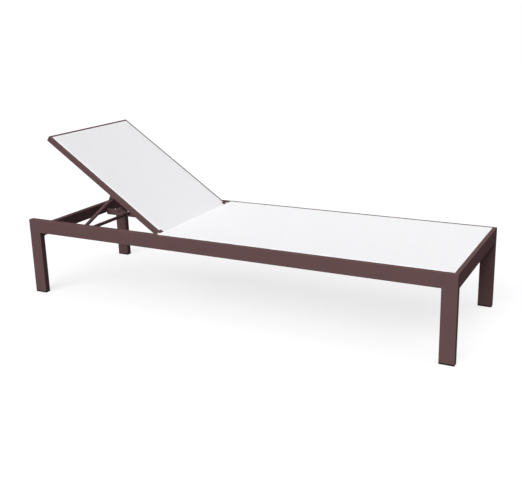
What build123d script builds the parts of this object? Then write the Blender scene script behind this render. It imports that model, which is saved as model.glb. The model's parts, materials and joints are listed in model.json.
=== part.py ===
from build123d import *
import os
from math import asin, cos, radians, sin

os.makedirs("parts", exist_ok=True)

# Millimetres. X runs along the lounger with the foot end at +X, Z is up from the floor.
# Left and right are those of a person who lies on it with the head at -X.

# Seat frame
length = 2000.0
width = 670.0
seat_height = 355.0
rail_height = 60.0
rail_width = 28.0
tube_wall = 2.0
tube_corner = 1.5
leg_width = 60.0
glide_height = 7.0

# Crossbars and braces
head_bar_width = 25.0
head_bar_height = 51.0
head_bar_drop = 28.0
seat_head_rail_width = 25.0
brace_width = 40.0
brace_height = 20.0
brace_shares = (0.34, 0.67)

# Grooves that hold the sling, and the sling
sling_thickness = 1.0
seat_sling_inset = 18.0
back_sling_inset = 12.0
groove_width = 2.6
groove_depth = 5.2
chamber_radius = 3.3
chamber_wall = 1.5
spline_radius = 1.9
sling_clearance = 0.2
hem_end_gap = 14.0
head_hem_drop = 15.0
wrap_angle = 120.0

# Backrest
backrest_length = 694.0
backrest_gap = 21.0
backrest_depth = 25.0
backrest_angle = 34.2
hinge_clearance = 1.5
hinge_block_length = 14.0
hinge_spigot_length = 24.0
hinge_spigot_height = 8.5

# Backrest hinge
stud_diameter = 10.0
bush_diameter = 14.0
bush_flange_diameter = 20.0
bush_flange = 1.2
hinge_plate_width = 42.0
hinge_plate_height = 52.0
hinge_plate_thickness = 3.0
hinge_plate_corner = 5.0
hinge_plate_gap = 1.0
hinge_plate_rise = 9.5
spacer_diameter = 18.0
running_clearance = 0.1
side_play = 0.2
plate_screw_diameter = 5.0
plate_screw_head = 9.5
plate_screw_head_height = 3.0
plate_screw_length = 14.0
plate_screw_margin = 8.0

# Prop, a round tube bent to a U, and the brackets that it swings in
prop_hinge_along = 281.5
prop_length = 275.0
prop_diameter = 16.0
prop_wall = 1.5
prop_bend_radius = 32.0
bracket_width = 20.0
bracket_thickness = 2.0
bracket_clearance = 0.7
prop_bolt_diameter = 6.0
prop_bolt_head = 12.0
prop_bolt_head_height = 4.0
prop_bolt_tip = 2.0
prop_washer_diameter = 13.0
prop_washer_thickness = 1.0
prop_nut_flats = 10.0
prop_nut_height = 6.0

# Racks that the prop bar is set down in
rack_spread = 328.0
rack_thickness = 8.0
rack_height = 30.0
tooth_relief = 3.0
notch_pitch = 50.0
notch_width = 17.0
notch_depth = 9.0
notch_flare = 2.0
notches_above = 3
rack_lead = 30.0
rack_ramp = 15.0
open_pivot_clearance = 0.5

# Plugs, caps and buffers
plug_fit = 0.1
plug_wall = 2.5
plug_length = 22.0
cap_thickness = 3.0
soft_edge = 1.0
buffer_diameter = 18.0
buffer_clearance = 0.3
buffer_stem_diameter = 6.0
buffer_stem_length = 5.0
cut_overrun = 5.0

# Places that follow from the sizes above
rail_bottom = seat_height - rail_height
rail_middle = seat_height - rail_height / 2
inner_face = width / 2 - rail_width
rail_centre = width / 2 - rail_width / 2
head_end = -length / 2 + cap_thickness
groove_place = seat_sling_inset + groove_width / 2
back_groove_place = back_sling_inset + groove_width / 2
pivot_x = -length / 2 + backrest_length
pivot_z = seat_height - backrest_depth / 2
backrest_side = inner_face - backrest_gap
backrest_inner = backrest_side - backrest_depth
backrest_centre = backrest_side - backrest_depth / 2
sling_edge_x = pivot_x + backrest_depth / 2 + sling_thickness + hinge_clearance
seat_head_x = sling_edge_x + sling_thickness
head_bar_x = -length / 2 + leg_width - head_bar_width / 2
head_bar_top = seat_height - head_bar_drop
hem_radius = spline_radius + sling_clearance + sling_thickness
hem_bore = spline_radius + sling_clearance
neck_width = 2 * sling_thickness

# Directions of the raised backrest, up along it and square to its sling
along = Vector(-cos(radians(backrest_angle)), 0, sin(radians(backrest_angle)))
square = Vector(sin(radians(backrest_angle)), 0, cos(radians(backrest_angle)))
pivot = Vector(pivot_x, 0, pivot_z)

# Prop: its hinge under the backrest, and the bar that stands over the notch tips
prop_radius = prop_diameter / 2
prop_hinge_drop = backrest_depth / 2 + bracket_thickness + bracket_clearance + prop_radius
prop_hinge = pivot + along * prop_hinge_along - square * prop_hinge_drop
notch_tip_z = rail_bottom - tooth_relief
prop_bar_z = notch_tip_z + prop_radius + open_pivot_clearance
prop_angle = asin((prop_hinge.Z - prop_bar_z) / prop_length)
prop_bar_x = prop_hinge.X - prop_length * cos(prop_angle)
prop_way = Vector(-cos(prop_angle), 0, -sin(prop_angle))
prop_bar_end = backrest_centre - prop_bend_radius
rack_start = -length / 2 + leg_width
notches_below = int((prop_bar_x - rack_start - rack_lead - rack_ramp) / notch_pitch - 0.5)
bracket_inside = prop_radius + side_play + prop_washer_thickness
bracket_outside = bracket_inside + bracket_thickness

sides = {"left": 1, "right": -1}


def save(piece, name):
    piece.part.label = name
    export_step(piece.part, f"parts/{name}.step")


# Plane of a view along the lounger's side, with X to the right and Z up, facing -Y
def side_plane(y):
    return Plane(origin=(0, y, 0), x_dir=(1, 0, 0), z_dir=(0, -1, 0))


# The same for the raised backrest, with the way up the backrest to the right, facing +Y
def backrest_plane(y):
    return Plane(origin=(pivot_x, y, pivot_z), x_dir=along, z_dir=(0, 1, 0))


# Section across the backrest at a distance up from the pivot, with -Y to the right
def across_backrest(distance):
    return Plane(origin=pivot + along * distance, x_dir=(0, -1, 0), z_dir=along)


# Rectangular tube with a round chamber for a sling spline hung under its top wall
def sling_tube(section_width, section_height, chamber_x):
    RectangleRounded(section_width, section_height, tube_corner)
    Rectangle(section_width - 2 * tube_wall, section_height - 2 * tube_wall, mode=Mode.SUBTRACT)
    with Locations((chamber_x, section_height / 2 - groove_depth)):
        Circle(chamber_radius + chamber_wall)
        Circle(chamber_radius, mode=Mode.SUBTRACT)


# Plain rectangular tube
def plain_tube(section_width, section_height):
    RectangleRounded(section_width, section_height, tube_corner)
    Rectangle(section_width - 2 * tube_wall, section_height - 2 * tube_wall, mode=Mode.SUBTRACT)


# Slot from the tube's top face down to the middle of the chamber
def groove_slot(section_height, chamber_x):
    with Locations((chamber_x, section_height / 2 - groove_depth / 2 + cut_overrun / 2)):
        Rectangle(groove_width, groove_depth + cut_overrun)


# Places of the three screws of a hinge plate
def plate_screw_places():
    plate_right = sling_edge_x - hinge_plate_gap
    plate_left = plate_right - hinge_plate_width
    plate_top = pivot_z + hinge_plate_rise
    plate_bottom = plate_top - hinge_plate_height
    return [
        (plate_left + plate_screw_margin, plate_bottom + plate_screw_margin),
        (plate_right - plate_screw_margin, plate_bottom + plate_screw_margin),
        (plate_left + plate_screw_margin, plate_top - plate_screw_margin - plate_screw_diameter),
    ]


# Side rail of the seat, mitred at the foot end, grooved along the sling, drilled for the hinge plate
def side_rail(name, side):
    chamber_x = side * (width / 2 - groove_place - rail_centre)
    rail_start = (head_end, side * rail_centre, rail_middle)
    rail_section = Plane(origin=rail_start, x_dir=(0, 1, 0), z_dir=(1, 0, 0))
    groove_start = rail_section.offset(sling_edge_x - head_end)
    with BuildPart() as rail:
        with BuildSketch(rail_section):
            sling_tube(rail_width, rail_height, chamber_x)
        extrude(amount=length / 2 - head_end)
        with BuildSketch(groove_start):
            groove_slot(rail_height, chamber_x)
        extrude(amount=length / 2 - sling_edge_x + cut_overrun, mode=Mode.SUBTRACT)
        with BuildSketch(side_plane(side * (inner_face + 2 * tube_wall))):
            with Locations(*plate_screw_places()):
                Circle(plate_screw_diameter / 2)
        extrude(amount=side * (2 * tube_wall + cut_overrun), mode=Mode.SUBTRACT)
        mitre = Plane(origin=(length / 2, side * width / 2, 0), z_dir=(1, -side, 0))
        split(bisect_by=mitre, keep=Keep.BOTTOM)
    save(rail, name)


# Foot rail of the seat, mitred into both side rails
def foot_rail():
    chamber_x = rail_width / 2 - groove_place
    rail_end = Plane(
        origin=(length / 2 - rail_width / 2, width / 2, rail_middle), x_dir=(1, 0, 0), z_dir=(0, -1, 0)
    )
    with BuildPart() as rail:
        with BuildSketch(rail_end):
            sling_tube(rail_width, rail_height, chamber_x)
        extrude(amount=width)
        with BuildSketch(rail_end):
            groove_slot(rail_height, chamber_x)
        extrude(amount=width, mode=Mode.SUBTRACT)
        for side in sides.values():
            mitre = Plane(origin=(length / 2, side * width / 2, 0), z_dir=(1, -side, 0))
            split(bisect_by=mitre, keep=Keep.TOP)
    save(rail, "foot_rail")


# Crossbar between the head legs, low enough for the flat backrest, drilled for the buffers
def head_crossbar():
    with BuildPart() as bar:
        with BuildSketch(side_plane(inner_face)):
            with Locations((head_bar_x, head_bar_top - head_bar_height / 2)):
                plain_tube(head_bar_width, head_bar_height)
        extrude(amount=2 * inner_face)
        with BuildSketch(Plane.XY.offset(head_bar_top)):
            for side in sides.values():
                with Locations((head_bar_x, side * backrest_centre)):
                    Circle(buffer_stem_diameter / 2)
        extrude(amount=-2 * tube_wall, mode=Mode.SUBTRACT)
    save(bar, "head_crossbar")


# Rubber buffers that the flat backrest lies on
def backrest_buffers():
    buffer_height = head_bar_drop - backrest_depth - buffer_clearance
    with BuildPart() as buffers:
        for side in sides.values():
            with BuildSketch(Plane.XY.offset(head_bar_top)):
                with Locations((head_bar_x, side * backrest_centre)):
                    Circle(buffer_diameter / 2)
            extrude(amount=buffer_height)
        rims = buffers.edges().filter_by(GeomType.CIRCLE).group_by(Axis.Z)[-1]
        chamfer(rims, buffer_height / 4)
        for side in sides.values():
            with BuildSketch(Plane.XY.offset(head_bar_top)):
                with Locations((head_bar_x, side * backrest_centre)):
                    Circle(buffer_stem_diameter / 2 - plug_fit)
            extrude(amount=-buffer_stem_length)
    save(buffers, "backrest_buffers")


# Cross rail at the head edge of the seat, with the sling's groove in its head face
def seat_head_rail():
    groove_z = rail_height / 2 - head_hem_drop
    with BuildPart() as rail:
        with BuildSketch(side_plane(inner_face)):
            with Locations((seat_head_x + seat_head_rail_width / 2, rail_middle)):
                plain_tube(seat_head_rail_width, rail_height)
            with Locations((seat_head_x + groove_depth, rail_middle + groove_z)):
                Circle(chamber_radius + chamber_wall)
                Circle(chamber_radius, mode=Mode.SUBTRACT)
            with Locations((seat_head_x + (groove_depth - cut_overrun) / 2, rail_middle + groove_z)):
                Rectangle(groove_depth + cut_overrun, groove_width, mode=Mode.SUBTRACT)
        extrude(amount=2 * inner_face)
    save(rail, "seat_head_rail")


# Braces under the seat sling, flush with the bottom of the rails
def seat_braces():
    seat_span = length / 2 - rail_width - seat_head_x
    for place, share in zip(("head", "foot"), brace_shares):
        with BuildPart() as brace:
            with BuildSketch(side_plane(inner_face)):
                with Locations((seat_head_x + share * seat_span, rail_bottom + brace_height / 2)):
                    plain_tube(brace_width, brace_height)
            extrude(amount=2 * inner_face)
        save(brace, f"seat_brace_{place}")


# Legs, welded under the rails and flush with their faces, each with a glide plugged in
def legs_and_glides():
    for end, end_sign in (("head", -1), ("foot", 1)):
        for name, side in sides.items():
            leg_x = end_sign * (length / 2 - leg_width / 2)
            leg_y = side * rail_centre
            with BuildPart() as leg:
                with BuildSketch(Plane.XY.offset(glide_height)):
                    with Locations((leg_x, leg_y)):
                        plain_tube(leg_width, rail_width)
                extrude(amount=rail_bottom - glide_height)
            save(leg, f"leg_{end}_{name}")

            plug_x = leg_width - 2 * tube_wall - 2 * plug_fit
            plug_y = rail_width - 2 * tube_wall - 2 * plug_fit
            with BuildPart() as glide:
                with BuildSketch(Plane.XY):
                    with Locations((leg_x, leg_y)):
                        RectangleRounded(leg_width, rail_width, tube_corner)
                extrude(amount=glide_height)
                chamfer(glide.edges().group_by(Axis.Z)[0], soft_edge)
                with BuildSketch(Plane.XY.offset(glide_height)):
                    with Locations((leg_x, leg_y)):
                        Rectangle(plug_x, plug_y)
                        Rectangle(plug_x - 2 * plug_wall, plug_y - 2 * plug_wall, mode=Mode.SUBTRACT)
                        Rectangle(plug_wall, plug_y)
                extrude(amount=plug_length)
            save(glide, f"foot_glide_{end}_{name}")


# Cap plugged into the open head end of a side rail, below the spline chamber
def rail_end_cap(name, side):
    cap_face = Plane(origin=(head_end, side * rail_centre, rail_middle), x_dir=(0, 1, 0), z_dir=(1, 0, 0))
    plug_width = rail_width - 2 * tube_wall - 2 * plug_fit
    plug_bottom = -rail_height / 2 + tube_wall + plug_fit
    plug_top = rail_height / 2 - groove_depth - chamber_radius - chamber_wall - plug_fit
    plug_height = plug_top - plug_bottom
    with BuildPart() as cap:
        with BuildSketch(cap_face):
            RectangleRounded(rail_width, rail_height, tube_corner)
        extrude(amount=-cap_thickness)
        chamfer(cap.edges().group_by(Axis.X)[0], soft_edge)
        with BuildSketch(cap_face):
            with Locations((0, (plug_top + plug_bottom) / 2)):
                Rectangle(plug_width, plug_height)
                Rectangle(plug_width - 2 * plug_wall, plug_height - 2 * plug_wall, mode=Mode.SUBTRACT)
        extrude(amount=plug_length)
    save(cap, name)


# Rack from the head crossbar to under the seat head rail, its top lowered where its U notches are
def rack(name, side):
    rack_bottom = rail_bottom - rack_height
    rack_end = seat_head_x + seat_head_rail_width
    low_start = prop_bar_x - (notches_below + 0.5) * notch_pitch
    low_end = prop_bar_x + (notches_above + 0.5) * notch_pitch
    half_mouth = notch_width / 2 + notch_flare
    with BuildPart() as bar:
        with BuildSketch(side_plane(side * rack_spread / 2 + rack_thickness / 2)):
            with BuildLine():
                Polyline(
                    (rack_start, rack_bottom),
                    (rack_end, rack_bottom),
                    (rack_end, rail_bottom),
                    (low_end + rack_ramp, rail_bottom),
                    (low_end, notch_tip_z),
                    (low_start, notch_tip_z),
                    (low_start - rack_ramp, rail_bottom),
                    (rack_start, rail_bottom),
                    close=True,
                )
            make_face()
            for step in range(-notches_below, notches_above + 1):
                notch_x = prop_bar_x + step * notch_pitch
                seat_z = notch_tip_z - notch_depth + notch_width / 2
                with Locations((notch_x, seat_z)):
                    Circle(notch_width / 2, mode=Mode.SUBTRACT)
                with Locations((notch_x, (seat_z + notch_tip_z) / 2)):
                    Rectangle(notch_width, notch_tip_z - seat_z, mode=Mode.SUBTRACT)
                with BuildLine():
                    Polyline(
                        (notch_x - half_mouth, notch_tip_z),
                        (notch_x + half_mouth, notch_tip_z),
                        (notch_x, notch_tip_z - half_mouth),
                        close=True,
                    )
                make_face(mode=Mode.SUBTRACT)
        extrude(amount=rack_thickness)
    save(bar, name)


# Hinge plate on the inner face of a side rail, with the stud that the backrest turns on
def hinge_plate(name, side):
    plate_x = sling_edge_x - hinge_plate_gap - hinge_plate_width / 2
    plate_z = pivot_z + hinge_plate_rise - hinge_plate_height / 2
    stud_length = backrest_gap + backrest_depth - side_play
    with BuildPart() as plate:
        with BuildSketch(side_plane(side * inner_face)):
            with Locations((plate_x, plate_z)):
                RectangleRounded(hinge_plate_width, hinge_plate_height, hinge_plate_corner)
            with Locations(*plate_screw_places()):
                Circle(plate_screw_diameter / 2 + plug_fit, mode=Mode.SUBTRACT)
        extrude(amount=side * hinge_plate_thickness)
        with BuildSketch(side_plane(side * inner_face)):
            with Locations((pivot_x, pivot_z)):
                Circle(stud_diameter / 2)
        extrude(amount=side * stud_length)
        tip = plate.edges().filter_by(GeomType.CIRCLE).group_by(Axis.Y)[0 if side > 0 else -1]
        chamfer(tip, soft_edge)
    save(plate, name)


# Pan head screws that hold both hinge plates in the rail walls
def hinge_plate_screws():
    with BuildPart() as screws:
        for side in sides.values():
            with BuildSketch(side_plane(side * (inner_face - hinge_plate_thickness))):
                with Locations(*plate_screw_places()):
                    Circle(plate_screw_head / 2)
            extrude(amount=side * plate_screw_head_height)
        heads = screws.edges().filter_by(GeomType.CIRCLE)
        for face_edges in (heads.group_by(Axis.Y)[1], heads.group_by(Axis.Y)[-2]):
            chamfer(face_edges, soft_edge)
        for side in sides.values():
            with BuildSketch(side_plane(side * (inner_face - hinge_plate_thickness))):
                with Locations(*plate_screw_places()):
                    Circle(plate_screw_diameter / 2)
            extrude(amount=-side * plate_screw_length)
    save(screws, "hinge_plate_screws")


# Spacer sleeve on the stud, between the hinge plate and the bush
def hinge_spacer(name, side):
    start = inner_face - hinge_plate_thickness
    end = backrest_side + bush_flange + side_play
    with BuildPart() as spacer:
        with BuildSketch(side_plane(side * start)):
            with Locations((pivot_x, pivot_z)):
                Circle(spacer_diameter / 2)
                Circle(stud_diameter / 2 + running_clearance, mode=Mode.SUBTRACT)
        extrude(amount=side * (start - end))
    save(spacer, name)


# Nylon flange bush in the hinge block
def hinge_bush(name, side):
    with BuildPart() as bush:
        with BuildSketch(side_plane(side * backrest_side)):
            with Locations((pivot_x, pivot_z)):
                Circle(bush_flange_diameter / 2)
        extrude(amount=-side * bush_flange)
        with BuildSketch(side_plane(side * backrest_side)):
            with Locations((pivot_x, pivot_z)):
                Circle(bush_diameter / 2)
        extrude(amount=side * backrest_depth)
        with BuildSketch(side_plane(side * (backrest_side + bush_flange))):
            with Locations((pivot_x, pivot_z)):
                Circle(stud_diameter / 2 + running_clearance)
        extrude(amount=side * (backrest_depth + bush_flange), mode=Mode.SUBTRACT)
    save(bush, name)


# Solid block welded to the lower end of a backrest rail, rounded about the stud
def hinge_block(name, side):
    y_start = side * backrest_centre - backrest_depth / 2
    spigot_width = backrest_depth - 2 * tube_wall - 2 * plug_fit
    with BuildPart() as block:
        with BuildSketch(backrest_plane(y_start)):
            Circle(backrest_depth / 2)
            with Locations((hinge_block_length / 2, 0)):
                Rectangle(hinge_block_length, backrest_depth)
            Circle(bush_diameter / 2, mode=Mode.SUBTRACT)
        extrude(amount=backrest_depth)
        with BuildSketch(across_backrest(hinge_block_length)):
            spigot_low = -backrest_depth / 2 + tube_wall + plug_fit
            with Locations((-side * backrest_centre, spigot_low + hinge_spigot_height / 2)):
                Rectangle(spigot_width, hinge_spigot_height)
        extrude(amount=hinge_spigot_length)
    save(block, name)


# Side rail of the backrest, mitred at the top
def backrest_side_rail(name, side):
    start = across_backrest(hinge_block_length)
    start.origin += Vector(0, side * backrest_centre, 0)
    chamber_x = -side * (backrest_depth / 2 - back_groove_place)
    with BuildPart() as rail:
        with BuildSketch(start):
            sling_tube(backrest_depth, backrest_depth, chamber_x)
        extrude(amount=backrest_length - hinge_block_length)
        with BuildSketch(start):
            groove_slot(backrest_depth, chamber_x)
        extrude(amount=backrest_length, mode=Mode.SUBTRACT)
        corner = pivot + along * backrest_length + Vector(0, side * backrest_side, 0)
        split(bisect_by=Plane(origin=corner, z_dir=along - Vector(0, side, 0)), keep=Keep.BOTTOM)
    save(rail, name)


# Top rail of the backrest, mitred into both side rails
def backrest_top_rail():
    rail_end = backrest_plane(-backrest_side)
    rail_end.origin += along * (backrest_length - backrest_depth / 2)
    chamber_x = backrest_depth / 2 - back_groove_place
    with BuildPart() as rail:
        with BuildSketch(rail_end):
            sling_tube(backrest_depth, backrest_depth, chamber_x)
        extrude(amount=2 * backrest_side)
        with BuildSketch(rail_end):
            groove_slot(backrest_depth, chamber_x)
        extrude(amount=2 * backrest_side, mode=Mode.SUBTRACT)
        for side in sides.values():
            corner = pivot + along * backrest_length + Vector(0, side * backrest_side, 0)
            split(bisect_by=Plane(origin=corner, z_dir=along - Vector(0, side, 0)), keep=Keep.TOP)
    save(rail, "backrest_top_rail")


# Round rail across the lower end of the backrest, in line with the studs
def backrest_bottom_rail():
    outer = backrest_depth / 2 - sling_clearance
    chamber_place = outer - groove_depth
    wrap_end = 90 + wrap_angle
    with BuildPart() as rail:
        with BuildSketch(backrest_plane(-backrest_inner)):
            Circle(outer)
            Circle(outer - tube_wall, mode=Mode.SUBTRACT)
            with PolarLocations(chamber_place, 1, start_angle=wrap_end):
                Circle(chamber_radius + chamber_wall)
                Circle(chamber_radius, mode=Mode.SUBTRACT)
            with PolarLocations(chamber_place + groove_depth / 2 + cut_overrun / 2, 1, start_angle=wrap_end):
                Rectangle(groove_depth + cut_overrun, groove_width, mode=Mode.SUBTRACT)
        extrude(amount=2 * backrest_inner)
    save(rail, "backrest_bottom_rail")


# Folded bracket welded under a backrest rail, with two rounded cheeks about the prop's end
def prop_bracket(name, side):
    cheek_drop = prop_hinge_drop - backrest_depth / 2
    with BuildPart() as bracket:
        with BuildSketch(backrest_plane(side * backrest_centre - bracket_outside)):
            with Locations((prop_hinge_along, -prop_hinge_drop + cheek_drop / 2)):
                Rectangle(bracket_width, cheek_drop)
            with Locations((prop_hinge_along, -prop_hinge_drop)):
                Circle(bracket_width / 2)
                Circle(prop_bolt_diameter / 2, mode=Mode.SUBTRACT)
        extrude(amount=2 * bracket_outside)
        with BuildSketch(across_backrest(prop_hinge_along - bracket_width)):
            inside_top = -backrest_depth / 2 - bracket_thickness
            with Locations((-side * backrest_centre, inside_top - bracket_width)):
                Rectangle(2 * bracket_inside, 2 * bracket_width)
        extrude(amount=2 * bracket_width, mode=Mode.SUBTRACT)
    save(bracket, name)


# Side of the prop: a tube drilled and rounded for the bracket, bent inwards to the bar
def prop_arm(name, side):
    arm_start = Vector(prop_hinge.X, side * backrest_centre, prop_hinge.Z)
    bend_side = Plane(
        origin=arm_start, x_dir=prop_way, z_dir=(-side * sin(prop_angle), 0, side * cos(prop_angle))
    )
    rounded_end = Plane(origin=arm_start - Vector(0, prop_diameter, 0), x_dir=prop_way, z_dir=(0, 1, 0))
    with BuildPart() as arm:
        with BuildLine(bend_side):
            straight = Line((-prop_diameter, 0), (prop_length - prop_bend_radius, 0))
            CenterArc((prop_length - prop_bend_radius, prop_bend_radius), prop_bend_radius, -90, 90)
        with BuildSketch(Plane(origin=straight @ 0, z_dir=prop_way)):
            Circle(prop_radius)
            Circle(prop_radius - prop_wall, mode=Mode.SUBTRACT)
        sweep()
        with BuildSketch(rounded_end):
            with Locations((-prop_diameter, 0)):
                Rectangle(2 * prop_diameter, 2 * prop_diameter)
            Circle(prop_radius + running_clearance, mode=Mode.SUBTRACT)
            Circle(prop_bolt_diameter / 2 + running_clearance)
        extrude(amount=2 * prop_diameter, mode=Mode.SUBTRACT)
    save(arm, name)


# Bar of the prop, the straight run of its tube between the bends
def prop_bar():
    with BuildPart() as bar:
        with BuildSketch(side_plane(prop_bar_end)):
            with Locations((prop_bar_x, prop_bar_z)):
                Circle(prop_radius)
                Circle(prop_radius - prop_wall, mode=Mode.SUBTRACT)
        extrude(amount=2 * prop_bar_end)
    save(bar, "prop_bar")


# Round head bolts through the brackets, which the prop swings on
def prop_bolts():
    head_face = backrest_centre + bracket_outside
    with BuildPart() as bolts:
        for side in sides.values():
            with BuildSketch(side_plane(side * head_face)):
                with Locations((prop_hinge.X, prop_hinge.Z)):
                    Circle(prop_bolt_head / 2)
            extrude(amount=-side * prop_bolt_head_height)
        heads = bolts.edges().filter_by(GeomType.CIRCLE)
        for face_edges in (heads.group_by(Axis.Y)[0], heads.group_by(Axis.Y)[-1]):
            chamfer(face_edges, prop_bolt_head_height / 2)
        for side in sides.values():
            with BuildSketch(side_plane(side * head_face)):
                with Locations((prop_hinge.X, prop_hinge.Z)):
                    Circle(prop_bolt_diameter / 2)
            extrude(amount=side * (2 * bracket_outside + prop_nut_height + prop_bolt_tip))
    save(bolts, "prop_bolts")


# Washers on both sides of the prop's ends, inside the brackets
def prop_washers():
    with BuildPart() as washers:
        for side in sides.values():
            for face in (-bracket_inside, bracket_inside - prop_washer_thickness):
                with BuildSketch(side_plane(side * backrest_centre - face)):
                    with Locations((prop_hinge.X, prop_hinge.Z)):
                        Circle(prop_washer_diameter / 2)
                        Circle(prop_bolt_diameter / 2 + plug_fit, mode=Mode.SUBTRACT)
                extrude(amount=prop_washer_thickness)
    save(washers, "prop_washers")


# Lock nuts on the prop bolts, inside of the brackets
def prop_nuts():
    with BuildPart() as nuts:
        for side in sides.values():
            with BuildSketch(side_plane(side * (backrest_centre - bracket_outside))):
                with Locations((prop_hinge.X, prop_hinge.Z)):
                    RegularPolygon(prop_nut_flats / 2, 6, major_radius=False)
                    Circle(prop_bolt_diameter / 2, mode=Mode.SUBTRACT)
            extrude(amount=side * prop_nut_height)
    save(nuts, "prop_nuts")


# Section of a hem, a neck that stands in the groove and a loop round the spline
def hem_section(neck_up):
    with Locations((0, neck_up / 2)):
        Rectangle(neck_width, neck_up)
    Circle(hem_radius)
    Circle(hem_bore, mode=Mode.SUBTRACT)


# Ends of the seat's side hems, and of the hems across it
hem_side_start = seat_head_x + hem_end_gap
hem_side_end = length / 2 - groove_place - hem_end_gap
hem_cross_end = width / 2 - groove_place - hem_end_gap
chamber_z = seat_height - groove_depth
head_hem_x = seat_head_x + groove_depth
head_hem_z = seat_height - head_hem_drop


# Seat sling, flat over the rails, hemmed into their grooves and over the seat head rail
def seat_sling():
    edge = width / 2 - groove_place + sling_thickness
    foot_edge = length / 2 - groove_place + sling_thickness
    neck_up = groove_depth + sling_thickness / 2
    with BuildPart() as sling:
        with BuildSketch(Plane.XY.offset(seat_height)):
            with Locations(((foot_edge + sling_edge_x) / 2, 0)):
                Rectangle(foot_edge - sling_edge_x, 2 * edge)
        extrude(amount=sling_thickness)
        for side in sides.values():
            hem_y = side * (width / 2 - groove_place)
            hem = Plane(origin=(hem_side_start, hem_y, chamber_z), x_dir=(0, 1, 0), z_dir=(1, 0, 0))
            with BuildSketch(hem):
                hem_section(neck_up)
            extrude(amount=hem_side_end - hem_side_start)
        foot_hem = Plane(
            origin=(length / 2 - groove_place, hem_cross_end, chamber_z), x_dir=(1, 0, 0), z_dir=(0, -1, 0)
        )
        with BuildSketch(foot_hem):
            hem_section(neck_up)
        extrude(amount=2 * hem_cross_end)
        apron_end = inner_face - hem_end_gap
        head_hem = Plane(origin=(head_hem_x, apron_end, head_hem_z), x_dir=(0, 0, 1), z_dir=(0, -1, 0))
        with BuildSketch(head_hem):
            with Locations((0, (groove_depth + sling_thickness) / 2)):
                Rectangle(neck_width, groove_depth + sling_thickness)
            with Locations((head_hem_drop / 2, groove_depth + sling_thickness / 2)):
                Rectangle(head_hem_drop + neck_width, sling_thickness)
            Circle(hem_radius)
            Circle(hem_bore, mode=Mode.SUBTRACT)
        extrude(amount=2 * apron_end)
    save(sling, "seat_sling")


# Splines in the loops of the seat sling's four hems
def seat_sling_splines():
    with BuildPart() as splines:
        for side in sides.values():
            hem_y = side * (width / 2 - groove_place)
            hem = Plane(origin=(hem_side_start, hem_y, chamber_z), x_dir=(0, 1, 0), z_dir=(1, 0, 0))
            with BuildSketch(hem):
                Circle(spline_radius)
            extrude(amount=hem_side_end - hem_side_start)
        with BuildSketch(side_plane(hem_cross_end)):
            with Locations((length / 2 - groove_place, chamber_z)):
                Circle(spline_radius)
        extrude(amount=2 * hem_cross_end)
        with BuildSketch(side_plane(inner_face - hem_end_gap)):
            with Locations((head_hem_x, head_hem_z)):
                Circle(spline_radius)
        extrude(amount=2 * (inner_face - hem_end_gap))
    save(splines, "seat_sling_splines")


# Ends of the backrest's hems
back_hem_start = hinge_block_length + hem_end_gap / 2
back_hem_end = backrest_length - back_groove_place - hem_end_gap
back_hem_cross = backrest_side - back_groove_place - hem_end_gap
back_wrap_end = backrest_inner - side_play


# Backrest sling, over the frame's top faces and round the bottom rail
def backrest_sling():
    edge = backrest_side - back_groove_place + sling_thickness
    top_edge = backrest_length - back_groove_place + sling_thickness
    neck_up = groove_depth + sling_thickness / 2
    chamber_n = backrest_depth / 2 - groove_depth
    loop_place = chamber_n - sling_clearance
    wrap_end = 90 + wrap_angle
    wrap_outer = backrest_depth / 2 + sling_thickness
    with BuildPart() as sling:
        with BuildSketch(backrest_plane(-edge)):
            with Locations(((top_edge + hinge_block_length) / 2, (backrest_depth + sling_thickness) / 2)):
                Rectangle(top_edge - hinge_block_length, sling_thickness)
        extrude(amount=2 * edge)
        with BuildSketch(backrest_plane(-back_wrap_end)):
            with BuildLine():
                inner_arc = CenterArc((0, 0), backrest_depth / 2, 90, wrap_angle)
                outer_arc = CenterArc((0, 0), wrap_outer, 90, wrap_angle)
                Line(inner_arc @ 0, outer_arc @ 0)
                Line(inner_arc @ 1, outer_arc @ 1)
            make_face()
            with Locations((hinge_block_length / 2, (backrest_depth + sling_thickness) / 2)):
                Rectangle(hinge_block_length, sling_thickness)
            with PolarLocations((loop_place + wrap_outer) / 2, 1, start_angle=wrap_end):
                Rectangle(wrap_outer - loop_place, neck_width)
            with PolarLocations(loop_place, 1, start_angle=wrap_end):
                Circle(hem_radius)
                Circle(hem_bore, mode=Mode.SUBTRACT)
        extrude(amount=2 * back_wrap_end)
        for side in sides.values():
            hem = across_backrest(back_hem_start)
            hem.origin += Vector(0, side * (backrest_side - back_groove_place), 0) + square * chamber_n
            with BuildSketch(hem):
                hem_section(neck_up)
            extrude(amount=back_hem_end - back_hem_start)
        top_hem = backrest_plane(-back_hem_cross)
        top_hem.origin += along * (backrest_length - back_groove_place) + square * chamber_n
        with BuildSketch(top_hem):
            hem_section(neck_up)
        extrude(amount=2 * back_hem_cross)
    save(sling, "backrest_sling")


# Splines in the loops of the backrest sling's four hems
def backrest_sling_splines():
    chamber_n = backrest_depth / 2 - groove_depth
    chamber_place = backrest_depth / 2 - sling_clearance - groove_depth
    with BuildPart() as splines:
        for side in sides.values():
            hem = across_backrest(back_hem_start)
            hem.origin += Vector(0, side * (backrest_side - back_groove_place), 0) + square * chamber_n
            with BuildSketch(hem):
                Circle(spline_radius)
            extrude(amount=back_hem_end - back_hem_start)
        with BuildSketch(backrest_plane(-back_hem_cross)):
            with Locations((backrest_length - back_groove_place, chamber_n)):
                Circle(spline_radius)
        extrude(amount=2 * back_hem_cross)
        with BuildSketch(backrest_plane(-back_wrap_end)):
            with PolarLocations(chamber_place, 1, start_angle=90 + wrap_angle):
                Circle(spline_radius)
        extrude(amount=2 * back_wrap_end)
    save(splines, "backrest_sling_splines")


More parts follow.
